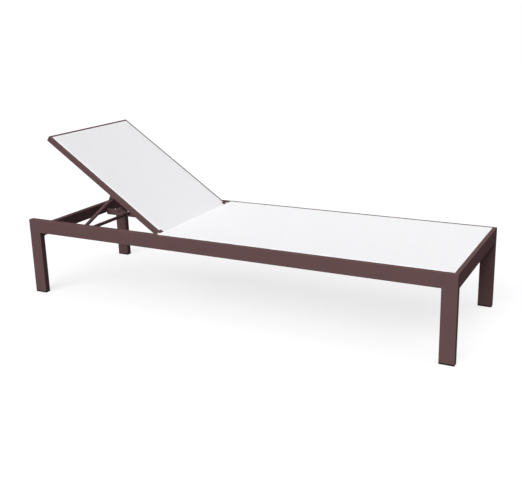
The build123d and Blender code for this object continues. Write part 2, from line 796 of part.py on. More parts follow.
# Seat frame
foot_rail()
head_crossbar()
backrest_buffers()
seat_head_rail()
seat_braces()
legs_and_glides()
for side_name, side_sign in sides.items():
    side_rail(f"side_rail_{side_name}", side_sign)
    rail_end_cap(f"rail_end_cap_{side_name}", side_sign)
    rack(f"rack_{side_name}", side_sign)
    hinge_plate(f"hinge_plate_{side_name}", side_sign)
    hinge_spacer(f"hinge_spacer_{side_name}", side_sign)
hinge_plate_screws()

# Backrest
for side_name, side_sign in sides.items():
    backrest_side_rail(f"backrest_side_rail_{side_name}", side_sign)
    hinge_block(f"hinge_block_{side_name}", side_sign)
    hinge_bush(f"hinge_bush_{side_name}", side_sign)
backrest_top_rail()
backrest_bottom_rail()

# Prop
for side_name, side_sign in sides.items():
    prop_bracket(f"prop_bracket_{side_name}", side_sign)
    prop_arm(f"prop_arm_{side_name}", side_sign)
prop_bar()
prop_bolts()
prop_washers()
prop_nuts()

# Slings
seat_sling()
seat_sling_splines()
backrest_sling()
backrest_sling_splines()
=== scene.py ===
import json
from math import cos, exp, hypot, pi, radians, sin, tau

import bmesh
import bpy
from mathutils import Matrix, Vector


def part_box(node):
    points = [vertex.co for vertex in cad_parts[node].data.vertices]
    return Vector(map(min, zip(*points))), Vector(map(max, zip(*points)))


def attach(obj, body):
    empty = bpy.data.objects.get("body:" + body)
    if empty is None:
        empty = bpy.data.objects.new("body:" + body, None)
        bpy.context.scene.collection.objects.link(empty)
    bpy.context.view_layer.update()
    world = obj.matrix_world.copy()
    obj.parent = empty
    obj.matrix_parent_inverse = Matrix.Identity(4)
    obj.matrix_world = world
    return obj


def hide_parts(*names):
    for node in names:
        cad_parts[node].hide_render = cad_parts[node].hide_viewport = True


bl_info = {
    "name": "Sun lounger finish",
    "version": (1, 0, 0),
    "blender": (4, 5, 0),
    "location": "3D View > Sidebar > Lounger",
    "description": "Dresses the sun lounger with its coat, slings, fasteners, welds and studio",
    "category": "Object",
}

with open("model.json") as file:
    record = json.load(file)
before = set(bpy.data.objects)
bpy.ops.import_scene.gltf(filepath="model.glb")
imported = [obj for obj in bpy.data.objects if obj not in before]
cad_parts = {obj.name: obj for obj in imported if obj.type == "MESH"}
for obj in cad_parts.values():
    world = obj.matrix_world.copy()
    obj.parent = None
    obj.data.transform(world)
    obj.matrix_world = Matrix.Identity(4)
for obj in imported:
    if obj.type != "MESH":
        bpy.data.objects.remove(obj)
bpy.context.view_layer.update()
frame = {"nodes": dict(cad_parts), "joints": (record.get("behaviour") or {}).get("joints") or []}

# CAD nodes that keep their shape, by finish
COATED = [
    "side_rail_left", "side_rail_right", "foot_rail", "head_crossbar", "seat_head_rail",
    "seat_brace_head", "seat_brace_foot", "leg_head_left", "leg_head_right", "leg_foot_left",
    "leg_foot_right", "rack_left", "rack_right", "backrest_side_rail_left",
    "backrest_side_rail_right", "backrest_top_rail", "backrest_bottom_rail", "hinge_block_left",
    "hinge_block_right", "prop_bracket_left", "prop_bracket_right", "prop_arm_left",
    "prop_arm_right", "prop_bar",
]
PLASTIC = [
    "foot_glide_head_left", "foot_glide_head_right", "foot_glide_foot_left",
    "foot_glide_foot_right", "rail_end_cap_left", "rail_end_cap_right",
]
STEEL = ["hinge_plate_left", "hinge_plate_right"]
NYLON = [
    "hinge_spacer_left", "hinge_spacer_right", "hinge_bush_left", "hinge_bush_right",
    "prop_washers",
]
RUBBER = ["backrest_buffers"]
SPLINES = ["seat_sling_splines", "backrest_sling_splines"]

# Middle of the backrest's hinge, in metres like every length here
HINGE = Vector(frame["joints"][0]["pos_m"])

# Colours of the small fittings. A metal has a dark and a pale grey.
NYLON_COLOUR = (0.62, 0.60, 0.54)
RUBBER_COLOUR = (0.02, 0.02, 0.02)
SPLINE_COLOUR = (0.70, 0.70, 0.69)
STAINLESS_GREYS = (0.42, 0.42, 0.43), (0.66, 0.66, 0.67)
BLACKENED_GREYS = (0.018, 0.018, 0.019), (0.05, 0.048, 0.05)

# Patterns of the finishes, in cells to the metre
COAT_CLOUDS = 9.0
COAT_SPECKS = 2600.0
MOULD_GRAIN = 1500.0
MOULD_SCUFFS = 60.0
DRAWN_LINES = (160.0, 160.0, 3200.0)
STEEL_STAINS = 70.0
CLOTH_CLOUDS = 14.0
CLOTH_SLUBS = 700.0
WELD_SPATTER = 900.0

# Relief of the finishes
PEEL_RELIEF = 0.00006
GRAIN_RELIEF = 0.00005
LINE_RELIEF = 0.00003
WEAVE_RELIEF = 0.00022
SPATTER_RELIEF = 0.0001

# Slings: half the solid's thickness, and how their edges dip into the grooves
HALF_SHEET = 0.0005
GROOVE_BEND = 0.001
GROOVE_BEND_STEPS = 3
SKIRT_DROP = 0.0035

# Angles between two faces from which their edge is sharp
SHEET_CREASE = radians(55)
PIECE_CREASE = radians(40)

# Seat sling: its quads, where its lower end stops beside the rails, and the bends of that end
SEAT_CROSS_STEPS = 36
SEAT_LONG_STEPS = 72
APRON_GAP = 0.014
APRON_BEND = 0.0015
APRON_STEPS = 4
NECK_DROP = 0.0155
NECK_BEND = 0.0012
NECK_STEPS = 3
NECK_TURN = 0.009
NECK_RUN = (0.0050, 0.0030)

# Backrest sling: its quads, the wrap round its lower rail, and the end that turns in there
BACK_CROSS_STEPS = 34
BACK_LONG_STEPS = 40
WRAP_ANGLE = radians(120)
WRAP_STEPS = 14
WRAP_END = 0.0045
WRAP_GAP = 0.0002

# Distance from the supports over which each sling's sag grows
SEAT_SAG_REACH = 0.14
BACK_SAG_REACH = 0.12

# Hem flaps under the slings: how thick, how far below, and their gaps to rails and each other
HEM_THICKNESS = 0.0006
HEM_DROP = 0.00055
HEM_MARGIN = 0.0004
HEM_SPLIT = 0.001
HEM_STEP = 0.02
SEAT_HEM_START = 0.002
BACK_HEM_START = 0.020

# Fasteners: points of a ring, shanks as shares of their heads, and the prop bolts' threads
RING_SEGMENTS = 24
PLATE_SCREW_SHANK = 0.526
PROP_BOLT_SHANK = 0.5
SHANK_TIP = 0.80
SHANK_OVERLAP = 0.00005
PROP_THREAD = 0.016
THREAD_ROOT = 0.88
THREAD_LEAD = 0.0004
THREAD_END = 0.0008

# Welds: the tubes' corners, how far before a leg's edge its ground welds stop, and then the
# sections and ripples of the beads
TUBE_CORNER = 0.0015
WELD_STOP = 0.0004
CORNER_STEPS = 4
BEAD_STEP = 0.0006
BEAD_SIDES = 6
BEAD_BULGE = 0.22
RIPPLE_HEIGHT = 0.09
RIPPLE_SECTIONS = 3.6
WAVER_HEIGHT = 0.05
WAVER_RATE = 0.37
RACK_WELD_LIFT = 0.002

# Studio: the floor, the ways that the lights come from and how wide they are
FLOOR_REACH = 14.0
FLOOR_GAP = 0.0002
KEY_WAY = (-0.10, -0.80, 0.60)
KEY_WIDTH = radians(50)
TOP_WAY = (0.32, 0.00, 0.95)
TOP_WIDTH = radians(60)

# Camera, placed and turned as it was for the photograph
CAMERA_PLACE = (1.6072, -2.9778, 1.2798)
CAMERA_YAW = radians(27.603)
CAMERA_PITCH = radians(15.831)
CAMERA_ROLL = radians(-1.446)
SENSOR_WIDTH = 36.0
FOCAL_LENGTH = 54.347
LENS_SHIFT = (-0.0030, -0.0205)
VIEW_END = 60.0


# Settings


class LoungerFinish(bpy.types.PropertyGroup):
    coat_colour: bpy.props.FloatVectorProperty(
        name="Coat colour", description="Brown of the powder coat on the tubes",
        default=(0.126, 0.072, 0.074), size=3, min=0, max=1, subtype="COLOR",
    )
    coat_roughness: bpy.props.FloatProperty(
        name="Coat roughness", description="Roughness of the powder coat", default=0.58,
        min=0, max=1, subtype="FACTOR",
    )
    peel: bpy.props.FloatProperty(
        name="Orange peel", description="Width of the coat's fine waves",
        default=0.0011, min=0.0002, unit="LENGTH",
    )
    plastic_colour: bpy.props.FloatVectorProperty(
        name="Plastic colour", description="Black of glides and end caps",
        default=(0.013, 0.012, 0.012), size=3, min=0, max=1, subtype="COLOR",
    )
    sling_colour: bpy.props.FloatVectorProperty(
        name="Sling colour", description="White of the sling's yarns",
        default=(0.86, 0.86, 0.87), size=3, min=0, max=1, subtype="COLOR",
    )
    # The pit colour is painted shade: the grey given to the weave's hollows between the yarns
    pit_shade_colour: bpy.props.FloatVectorProperty(
        name="Pit colour", description="Grey between the sling's yarns",
        default=(0.60, 0.60, 0.62), size=3, min=0, max=1, subtype="COLOR",
    )


class LoungerSizes(bpy.types.PropertyGroup):
    sheet: bpy.props.FloatProperty(
        name="Sling thickness", description="Thickness of the woven sheet",
        default=0.00098, min=0.0003, unit="LENGTH",
    )
    yarn: bpy.props.FloatProperty(
        name="Yarn pitch", description="Distance from yarn to yarn", default=0.0014, min=0.0005,
        unit="LENGTH",
    )
    seat_sag: bpy.props.FloatProperty(
        name="Seat sag", description="Sag of the empty seat sling at its middle",
        default=0.003, min=0, max=0.02, unit="LENGTH",
    )
    back_sag: bpy.props.FloatProperty(
        name="Backrest sag", description="Sag of the empty backrest sling at its middle",
        default=0.0025, min=0, max=0.012, unit="LENGTH",
    )
    flap: bpy.props.FloatProperty(
        name="Hem flap", description="Width of the welded hem that shows from below",
        default=0.012, min=0.002, unit="LENGTH",
    )
    weld_leg: bpy.props.FloatProperty(
        name="Weld leg", description="Leg of the fillet welds", default=0.003, min=0.0005,
        unit="LENGTH",
    )
    bracket_weld: bpy.props.FloatProperty(
        name="Bracket weld leg", description="Leg of the welds round the prop's brackets",
        default=0.0012, min=0.0005, unit="LENGTH",
    )
    screw_head: bpy.props.FloatProperty(
        name="Screw head", description="Height of the plate screws' heads", default=0.003,
        min=0.001, unit="LENGTH",
    )
    bolt_head: bpy.props.FloatProperty(
        name="Bolt head", description="Height of the prop bolts' heads", default=0.004,
        min=0.001, unit="LENGTH",
    )
    thread_pitch: bpy.props.FloatProperty(
        name="Thread pitch", description="Pitch of the prop bolts' threads", default=0.001,
        min=0.0004, unit="LENGTH",
    )
    back_angle: bpy.props.FloatProperty(
        name="Backrest angle", description="Angle of the backrest at rest, from flat",
        default=radians(34.2), subtype="ANGLE",
    )


class LoungerStudio(bpy.types.PropertyGroup):
    key: bpy.props.FloatProperty(
        name="Key light", description="Strength of the soft light at the front", default=2.95,
        min=0,
    )
    top: bpy.props.FloatProperty(
        name="Top light", description="Strength of the soft light overhead", default=1.55, min=0,
    )
    sky: bpy.props.FloatProperty(
        name="Sky", description="Even light from all round", default=0.09, min=0,
    )
    floor_colour: bpy.props.FloatVectorProperty(
        name="Floor colour", description="Plain pale floor", default=(0.27, 0.27, 0.27), size=3,
        min=0, max=1, subtype="COLOR",
    )
    floor_glow: bpy.props.FloatProperty(
        name="Floor glow", description="White added to the floor where the camera sees it",
        default=0.75, min=0, max=1, subtype="FACTOR",
    )


# Shader maths


class Wire:
    """A node's output. Python's operators on it add the Math nodes."""

    def __init__(self, tree, socket):
        self.tree = tree
        self.socket = socket

    @classmethod
    def node(cls, tree, kind, settings=None, inputs=None, output=0):
        """Any other node, from its settings and the values or wires of its sockets.

        An output of None is for a node that ends a tree, which gives nothing back.
        """
        made = tree.nodes.new(kind)
        for name, value in (settings or {}).items():
            setattr(made, name, value)
        for name, value in (inputs or {}).items():
            if isinstance(value, cls):
                tree.links.new(value.socket, made.inputs[name])
            else:
                made.inputs[name].default_value = value
        return None if output is None else cls(tree, made.outputs[output])

    def beside(self, output):
        """Another output of the same node."""
        return Wire(self.tree, self.socket.node.outputs[output])

    def maths(self, operation, *values):
        return Wire.node(
            self.tree, "ShaderNodeMath", {"operation": operation}, dict(enumerate(values))
        )

    def __add__(self, other):
        return self.maths("ADD", self, other)

    def __radd__(self, other):
        return self.maths("ADD", other, self)

    def __sub__(self, other):
        return self.maths("SUBTRACT", self, other)

    def __rsub__(self, other):
        return self.maths("SUBTRACT", other, self)

    def __mul__(self, other):
        return self.maths("MULTIPLY", self, other)

    def __rmul__(self, other):
        return self.maths("MULTIPLY", other, self)

    def __pow__(self, other):
        return self.maths("POWER", self, other)

    def __abs__(self):
        return self.maths("ABSOLUTE", self)

    def sine(self):
        return self.maths("SINE", self)

    def sign(self):
        return self.maths("SIGN", self)

    def higher(self, other):
        return self.maths("MAXIMUM", self, other)


def rgba(colour):
    return (*colour[:3], 1.0)


def shade(colour, factor):
    return tuple(min(1.0, c * factor) for c in colour[:3])


def new_surface(name, **constants):
    """A material with one Principled shader, whose constants sit on its own sockets."""
    material = bpy.data.materials.new(name)
    material.use_nodes = True
    shader = material.node_tree.nodes["Principled BSDF"]
    for key, value in constants.items():
        shader.inputs[key.replace("_", " ").title().replace("Ior", "IOR")].default_value = value
    return material, material.node_tree, shader


def feed(tree, wire, shader, name):
    tree.links.new(wire.socket, shader.inputs[name])


def object_place(tree):
    return Wire.node(tree, "ShaderNodeTexCoord", output="Object")


def noise(tree, place, scale, detail=2.0, roughness=0.5):
    return Wire.node(
        tree, "ShaderNodeTexNoise", {"noise_dimensions": "3D"},
        {"Vector": place, "Scale": scale, "Detail": detail, "Roughness": roughness},
    )


def mixed(tree, factor, low, high):
    """A colour between two, on a Mix node."""
    return Wire.node(
        tree, "ShaderNodeMix", {"data_type": "RGBA"}, {0: factor, 6: low, 7: high}, output=2
    )


def bumped(tree, height, distance, strength=1.0):
    return Wire.node(
        tree, "ShaderNodeBump", None,
        {"Height": height, "Distance": distance, "Strength": strength}, output="Normal",
    )


# Finishes


def powder_coat(finish):
    """Matt brown powder coat with orange peel, slight cloudiness and fine specks."""
    material, tree, shader = new_surface("powder_coat_brown", specular_ior_level=0.0)
    place = object_place(tree)
    peel = noise(tree, place, 1.0 / finish.peel, 1.0)
    cloud = noise(tree, place, COAT_CLOUDS, 3.0)
    speck = noise(tree, place, COAT_SPECKS, 2.0, 0.7)
    tone = cloud * 0.7 + speck * 0.3
    feed(tree, mixed(
        tree, tone, rgba(shade(finish.coat_colour, 0.90)), rgba(shade(finish.coat_colour, 1.10))
    ), shader, "Base Color")
    feed(tree, peel * 0.10 + cloud * 0.08 + (finish.coat_roughness - 0.09), shader, "Roughness")
    feed(tree, bumped(tree, peel + speck * 0.35, PEEL_RELIEF), shader, "Normal")
    return material


def moulded_plastic(name, colour, roughness):
    """Plastic with the fine grain of its mould and a few paler scuffs."""
    material, tree, shader = new_surface(name, specular_ior_level=0.1)
    place = object_place(tree)
    grain = noise(tree, place, MOULD_GRAIN, 2.0)
    scuff = noise(tree, place, MOULD_SCUFFS, 5.0, 0.65)
    feed(tree, mixed(
        tree, (scuff - 0.45) * 2.2, rgba(colour), rgba([c * 1.6 + 0.004 for c in colour])
    ), shader, "Base Color")
    feed(tree, scuff * 0.22 + (roughness - 0.1), shader, "Roughness")
    feed(tree, bumped(tree, grain, GRAIN_RELIEF), shader, "Normal")
    return material


def turned_steel(name, dark, pale):
    """Stainless steel with drawn lines and soft stains, between a dark and a pale grey."""
    material, tree, shader = new_surface(name, metallic=1.0)
    place = object_place(tree)
    drawn = Wire.node(
        tree, "ShaderNodeVectorMath", {"operation": "MULTIPLY"}, {0: place, 1: DRAWN_LINES}
    )
    lines = noise(tree, drawn, 1.0, 3.0)
    stain = noise(tree, place, STEEL_STAINS, 3.0)
    tone = lines * 0.6 + stain * 0.4
    feed(tree, mixed(tree, tone, rgba(dark), rgba(pale)), shader, "Base Color")
    feed(tree, lines * 0.16 + stain * 0.12 + 0.2, shader, "Roughness")
    feed(tree, bumped(tree, lines, LINE_RELIEF), shader, "Normal")
    return material


def woven_sling(finish, sizes):
    """Plain weave of coated yarns, laid out along the sheet's own length and width."""
    material, tree, shader = new_surface(
        "woven_sling", specular_ior_level=0.35, sheen_weight=0.08, sheen_roughness=0.5
    )
    cloth = Wire.node(
        tree, "ShaderNodeAttribute", {"attribute_type": "GEOMETRY", "attribute_name": "weave"},
        output="Vector",
    )
    split = Wire.node(tree, "ShaderNodeSeparateXYZ", None, {0: cloth})
    across = split * (pi / sizes.yarn)
    along = split.beside("Y") * (pi / sizes.yarn)
    warp_round = abs(across.sine())
    weft_round = abs(along.sine())
    warp = warp_round ** 0.5 * (along.sine() * across.sine().sign() * 0.45 + 0.55)
    weft = weft_round ** 0.5 * (0.55 - across.sine() * along.sine().sign() * 0.45)
    height = warp.higher(weft)
    cloud = noise(tree, cloth, CLOTH_CLOUDS, 3.0)
    slub = noise(tree, cloth, CLOTH_SLUBS, 2.0, 0.6)
    # Painted shade: the pits between the yarns are mixed towards the grey pit colour, the crowns
    # towards white
    tone = height * 1.15 + slub * 0.12 + cloud * 0.10 - 0.06
    feed(tree, mixed(
        tree, tone, rgba(finish.pit_shade_colour), rgba(finish.sling_colour)
    ), shader, "Base Color")
    feed(tree, 0.80 - height * 0.22 + slub * 0.08, shader, "Roughness")
    feed(tree, bumped(tree, height, WEAVE_RELIEF, 0.8), shader, "Normal")
    return material


def welded_bead(finish):
    """The coat over the ripples of a weld, a little darker than on the tubes."""
    material, tree, shader = new_surface("coated_weld", specular_ior_level=0.0)
    place = object_place(tree)
    spatter = noise(tree, place, WELD_SPATTER, 3.0, 0.6)
    feed(tree, mixed(
        tree, spatter, rgba(shade(finish.coat_colour, 0.82)), rgba(shade(finish.coat_colour, 1.08))
    ), shader, "Base Color")
    feed(tree, spatter * 0.2 + 0.3, shader, "Roughness")
    feed(tree, bumped(tree, spatter, SPATTER_RELIEF), shader, "Normal")
    return material


def dress(names, material):
    """Gives one material to carried-over CAD nodes."""
    for name in names:
        mesh = frame["nodes"][name].data
        mesh.materials.clear()
        mesh.materials.append(material)


def dressed_with(name):
    made = bpy.data.materials.get(name)
    if made is None:
        raise RuntimeError(f"the finish {name} is made first")
    return made


# Mesh helpers


def add_piece(name, verts, faces, material, body):
    """A new mesh piece that rides on a body and takes the finish it is given."""
    mesh = bpy.data.meshes.new(name)
    mesh.from_pydata([tuple(v) for v in verts], [], faces)
    mesh.validate()
    piece = bpy.data.objects.new(name, mesh)
    bpy.context.scene.collection.objects.link(piece)
    tidy = bmesh.new()
    tidy.from_mesh(mesh)
    bmesh.ops.recalc_face_normals(tidy, faces=tidy.faces)
    tidy.to_mesh(mesh)
    tidy.free()
    mesh.polygons.foreach_set("use_smooth", [True] * len(mesh.polygons))
    mesh.set_sharp_from_angle(angle=PIECE_CREASE)
    mesh.materials.append(material)
    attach(piece, body)
    return piece


def applied(piece):
    """Swaps the piece's mesh for what its modifiers make of it."""
    bpy.context.view_layer.update()
    result = bpy.data.meshes.new_from_object(
        piece.evaluated_get(bpy.context.evaluated_depsgraph_get())
    )
    piece.modifiers.clear()
    piece.data = result
    return piece


def bend(centre, radius, start, end, steps):
    """Points of an arc in a profile, from one angle to the other."""
    return [
        (
            centre[0] + radius * cos(start + (end - start) * k / steps),
            centre[1] + radius * sin(start + (end - start) * k / steps),
        )
        for k in range(steps + 1)
    ]


def spread(start, end, count):
    return [start + (end - start) * k / count for k in range(count + 1)]


def run_lengths(profile):
    """Distance along a profile to each of its points."""
    lengths = [0.0]
    for a, b in zip(profile, profile[1:]):
        lengths.append(lengths[-1] + hypot(b[0] - a[0], b[1] - a[1]))
    return lengths


def woven_sheet(name, lengthways, crossways, sag, kept, turn, body, sizes, material):
    """A taut sheet from two edge profiles of (place, height), as a solid of its real thickness."""
    along = run_lengths(lengthways)
    across = run_lengths(crossways)
    verts, weave = [], []
    for (x, x_drop), far in zip(lengthways, along):
        for (y, y_drop), wide in zip(crossways, across):
            verts.append((x, y, x_drop + y_drop - sag(x, y)))
            weave.append((wide, far, 0.0))
    columns = len(crossways)
    faces = [
        (r * columns + c, (r + 1) * columns + c, (r + 1) * columns + c + 1, r * columns + c + 1)
        for r in range(len(lengthways) - 1)
        for c in range(columns - 1)
        if kept(r, c)
    ]
    mesh = bpy.data.meshes.new(name)
    mesh.from_pydata(verts, [], faces)
    marks = mesh.attributes.new("weave", "FLOAT_VECTOR", "POINT")
    marks.data.foreach_set("vector", [value for mark in weave for value in mark])
    loose = bmesh.new()
    loose.from_mesh(mesh)
    bmesh.ops.delete(loose, geom=[v for v in loose.verts if not v.link_faces], context="VERTS")
    loose.to_mesh(mesh)
    loose.free()
    mesh.transform(turn)
    mesh.polygons.foreach_set("use_smooth", [True] * len(mesh.polygons))
    sheet = bpy.data.objects.new(name, mesh)
    bpy.context.scene.collection.objects.link(sheet)
    thick = sheet.modifiers.new("thickness", "SOLIDIFY")
    thick.thickness = sizes.sheet
    thick.offset = 0.0
    thick.use_even_offset = True
    applied(sheet)
    sheet.data.set_sharp_from_angle(angle=SHEET_CREASE)
    sheet.data.materials.clear()
    sheet.data.materials.append(material)
    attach(sheet, body)
    return sheet, across[-1], along[-1]


def ring_stack(levels, hollow=False):
    """Verts and faces of rings round Z. A level is (radius, height, flats), six flats or none.

    A hollow stack's last ring joins its first, as in a nut. Another one is closed by end faces.
    """
    segments = RING_SEGMENTS
    verts, faces = [], []
    for radius, height, flats in levels:
        for k in range(segments):
            angle = tau * k / segments
            reach = radius
            if flats:
                turn = (angle + pi / 6) % (pi / 3) - pi / 6
                reach = radius / cos(turn)
            verts.append((reach * cos(angle), reach * sin(angle), height))
    for level in range(len(levels) - 1):
        for k in range(segments):
            a = level * segments + k
            b = level * segments + (k + 1) % segments
            faces.append((a, b, b + segments, a + segments))
    top = (len(levels) - 1) * segments
    if hollow:
        for k in range(segments):
            after = (k + 1) % segments
            faces.append((top + k, top + after, after, k))
    else:
        faces += [tuple(reversed(range(segments))), tuple(range(top, top + segments))]
    return verts, faces


def gathered(parts):
    """One list of verts and one of faces from several (verts, faces, matrix)."""
    verts, faces = [], []
    for part_verts, part_faces, place in parts:
        start = len(verts)
        verts += [place @ Vector(v) for v in part_verts]
        faces += [tuple(start + i for i in face) for face in part_faces]
    return verts, faces


def facing(point, direction):
    """Matrix that stands a part at a point with its Z along a direction."""
    turn = Vector(direction).to_track_quat("Z", "Y").to_matrix().to_4x4()
    return Matrix.Translation(point) @ turn


# Places on the lounger


def shells(name):
    """Lowest and highest corner of each separate solid of a CAD node."""
    joined = bmesh.new()
    joined.from_mesh(frame["nodes"][name].data)
    bmesh.ops.remove_doubles(joined, verts=joined.verts, dist=1e-6)
    left = set(joined.verts)
    boxes = []
    while left:
        stack = [left.pop()]
        group = list(stack)
        while stack:
            for edge in stack.pop().link_edges:
                fresh = [vert for vert in edge.verts if vert in left]
                left.difference_update(fresh)
                stack += fresh
                group += fresh
        boxes.append(tuple(
            Vector([pick(v.co[axis] for v in group) for axis in range(3)]) for pick in (min, max)
        ))
    joined.free()
    return sorted(boxes, key=lambda box: tuple(box[0]))


def inner_face():
    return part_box("side_rail_left")[0].y


def seat_top():
    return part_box("side_rail_left")[1].z


def backrest_turn(sizes):
    """Matrix from the backrest's own axes, up along it, to the left and out of its sling."""
    up = Vector((-cos(sizes.back_angle), 0, sin(sizes.back_angle)))
    out = Vector((sin(sizes.back_angle), 0, cos(sizes.back_angle)))
    side = Vector((0, 1, 0))
    turn = Matrix((up, side, out)).transposed().to_4x4()
    return Matrix.Translation(HINGE) @ turn


def seen_from(turn, node):
    """A CAD node's points in the axes that a matrix gives."""
    back = turn.inverted()
    return [back @ v.co for v in frame["nodes"][node].data.vertices]


# Slings


def side_skirts(edge, middle):
    """Profile of a sheet that dips into a groove at both its edges."""
    turn = edge - GROOVE_BEND
    corner = bend((turn, -GROOVE_BEND), GROOVE_BEND, 0, pi / 2, GROOVE_BEND_STEPS)
    left = [(-edge, -SKIRT_DROP)] + [(-p, h) for p, h in corner]
    right = [(-p, h) for p, h in reversed(left)]
    return left + [(p, 0.0) for p in middle] + right


def end_skirt(edge):
    """Profile of a sheet's far end, which dips into the groove of a cross rail."""
    turn = edge - GROOVE_BEND
    corner = bend((turn, -GROOVE_BEND), GROOVE_BEND, pi / 2, 0, GROOVE_BEND_STEPS)
    return [(turn, 0.0)] + corner[1:] + [(edge, -SKIRT_DROP)]


def trimmed(lengthways, crossways, flat_start, reach):
    """Tells which quads of a sheet are kept, with its lower end narrower and two corners cut."""
    last_row = len(lengthways) - 2
    last_column = len(crossways) - 2

    def kept(row, column):
        if row < flat_start:
            return abs(crossways[column][0] + crossways[column + 1][0]) / 2 < reach
        return not (row == last_row and column in (0, last_column))

    return kept


def taut_sag(depth, grow, start, end, wide):
    """Sag of a sheet between the inner edges of its four supports."""

    def sag(x, y):
        near = min(x - start, end - x)
        if near <= 0 or abs(y) >= wide:
            return 0.0
        return depth * (1 - exp(-near / grow)) * (1 - (y / wide) ** 2)

    return sag


def hem_corners(start, rail, wide, flap):
    """Corners of the two side hems and of the hem along the far cross rail."""
    reach = wide - HEM_MARGIN
    side_end = rail - flap - HEM_SPLIT
    return [
        (start, side_end, reach - flap, reach),
        (start, side_end, -reach, -(reach - flap)),
        (rail - flap, rail - HEM_MARGIN, -reach, reach),
    ]


def hem_strip(name, corners, sag, turn, body, material):
    """Flat strips of the folded hem, welded under the sheet, each given by its corners."""
    verts, faces = [], []
    for x0, x1, y0, y1 in corners:
        count = max(2, round(max(x1 - x0, y1 - y0) / HEM_STEP))
        lengthways = x1 - x0 > y1 - y0
        start = len(verts)
        for k in range(count + 1):
            share = k / count
            if lengthways:
                x = x0 + (x1 - x0) * share
                ends = [(x, y0), (x, y1)]
            else:
                y = y0 + (y1 - y0) * share
                ends = [(x0, y), (x1, y)]
            for x, y in ends:
                for lift in (0.0, -HEM_THICKNESS):
                    verts.append((x, y, -HEM_DROP + lift - sag(x, y)))
        for k in range(count):
            a = start + 4 * k
            b = a + 4
            faces += [
                (a, a + 2, b + 2, b), (a + 1, b + 1, b + 3, a + 3),
                (a, b, b + 1, a + 1), (a + 2, a + 3, b + 3, b + 2),
            ]
        last = start + 4 * count
        faces += [(start, start + 1, start + 3, start + 2), (last, last + 2, last + 3, last + 1)]
    piece = add_piece(name, verts, faces, material, body)
    marks = piece.data.attributes.new("weave", "FLOAT_VECTOR", "POINT")
    marks.data.foreach_set("vector", [c for v in piece.data.vertices for c in (v.co.y, v.co.x, 0)])
    piece.data.transform(turn)
    return piece


def make_seat_sling(sizes, material):
    low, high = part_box("seat_sling")
    wide = inner_face()
    edge = high.y - HALF_SHEET
    foot_edge = high.x - HALF_SHEET
    head = low.x + HALF_SHEET
    head_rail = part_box("seat_head_rail")[1].x
    foot_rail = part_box("foot_rail")[0].x
    apron = wide - APRON_GAP
    inner = spread(-apron, apron, SEAT_CROSS_STEPS)[1:-1]
    middle = [-wide, -apron] + inner + [apron, wide]
    crossways = side_skirts(edge, middle)
    lengthways = [(head + run, -NECK_DROP) for run in NECK_RUN]
    lengthways += bend(
        (head + NECK_BEND, -NECK_DROP + NECK_BEND), NECK_BEND, -pi / 2, -pi, NECK_STEPS
    )
    lengthways += [(head, -NECK_TURN)]
    lengthways += bend((head + APRON_BEND, -APRON_BEND), APRON_BEND, pi, pi / 2, APRON_STEPS)
    flat_start = len(lengthways) - 1
    lengthways += [(x, 0.0) for x in spread(head_rail, foot_rail, SEAT_LONG_STEPS)]
    lengthways += end_skirt(foot_edge)
    turn = Matrix.Translation((0, 0, seat_top() + HALF_SHEET))
    sag = taut_sag(sizes.seat_sag, SEAT_SAG_REACH, head_rail, foot_rail, wide)
    kept = trimmed(lengthways, crossways, flat_start, apron)
    sheet, wide_cut, long_cut = woven_sheet(
        "seat_sling_woven", lengthways, crossways, sag, kept, turn, "seat_frame", sizes, material
    )
    corners = hem_corners(head_rail + SEAT_HEM_START, foot_rail, wide, sizes.flap)
    hems = hem_strip("seat_sling_hems", corners, sag, turn, "seat_frame", material)
    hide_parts("seat_sling")


def make_backrest_sling(sizes, material):
    turn = backrest_turn(sizes)
    cloth = seen_from(turn, "backrest_sling")
    rail = seen_from(turn, "backrest_side_rail_left")
    bottom = seen_from(turn, "backrest_bottom_rail")
    level = max(v.z for v in rail) + HALF_SHEET
    edge = max(v.y for v in cloth) - HALF_SHEET
    top_edge = max(v.x for v in cloth) - HALF_SHEET
    wide = min(v.y for v in rail)
    top_rail = max(v.x for v in rail) - (max(v.y for v in rail) - wide)
    reach = max(v.y for v in bottom) - WRAP_GAP
    block = min(v.x for v in rail)
    middle = [-reach] + spread(-reach, reach, BACK_CROSS_STEPS)[1:-1] + [reach]
    crossways = side_skirts(edge, middle)
    arc = bend((0, -level), level, pi / 2 + WRAP_ANGLE, pi / 2, WRAP_STEPS)
    foot = arc[0]
    inward = Vector((-foot[0], -level - foot[1])).normalized()
    lengthways = [(foot[0] + inward.x * WRAP_END, foot[1] + inward.y * WRAP_END)] + arc
    lengthways += [(block * 0.5, 0.0), (block, 0.0)]
    flat_start = len(lengthways) - 1
    lengthways += [(x, 0.0) for x in spread(block, top_rail, BACK_LONG_STEPS)[1:]]
    lengthways += end_skirt(top_edge)
    place = turn @ Matrix.Translation((0, 0, level))
    sag = taut_sag(sizes.back_sag, BACK_SAG_REACH, 0, top_rail, wide)
    kept = trimmed(lengthways, crossways, flat_start, reach)
    sheet, wide_cut, long_cut = woven_sheet(
        "backrest_sling_woven", lengthways, crossways, sag, kept, place, "backrest", sizes,
        material,
    )
    corners = hem_corners(BACK_HEM_START, top_rail, wide, sizes.flap)
    hems = hem_strip("backrest_sling_hems", corners, sag, place, "backrest", material)
    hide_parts("backrest_sling")


# Fasteners and welds


def domed_head(radius, height):
    """Levels of a domed head with a hexagon socket, from its seat up."""
    return [
        (radius, 0.0, False), (radius, height * 0.30, False), (radius * 0.94, height * 0.62, False),
        (radius * 0.78, height * 0.87, False), (radius * 0.56, height, False),
        (radius * 0.44, height, True), (radius * 0.42, height * 0.45, True),
        (radius * 0.10, height * 0.30, False),
    ]


def thread(radius, low, high, pitch):
    """Levels of a thread's crests and roots, from one height up to another."""
    turns = int((high - low) / pitch)
    levels = []
    for k in range(turns):
        start = low + k * pitch
        levels += [(radius * THREAD_ROOT, start, False), (radius, start + pitch / 2, False)]
    return levels


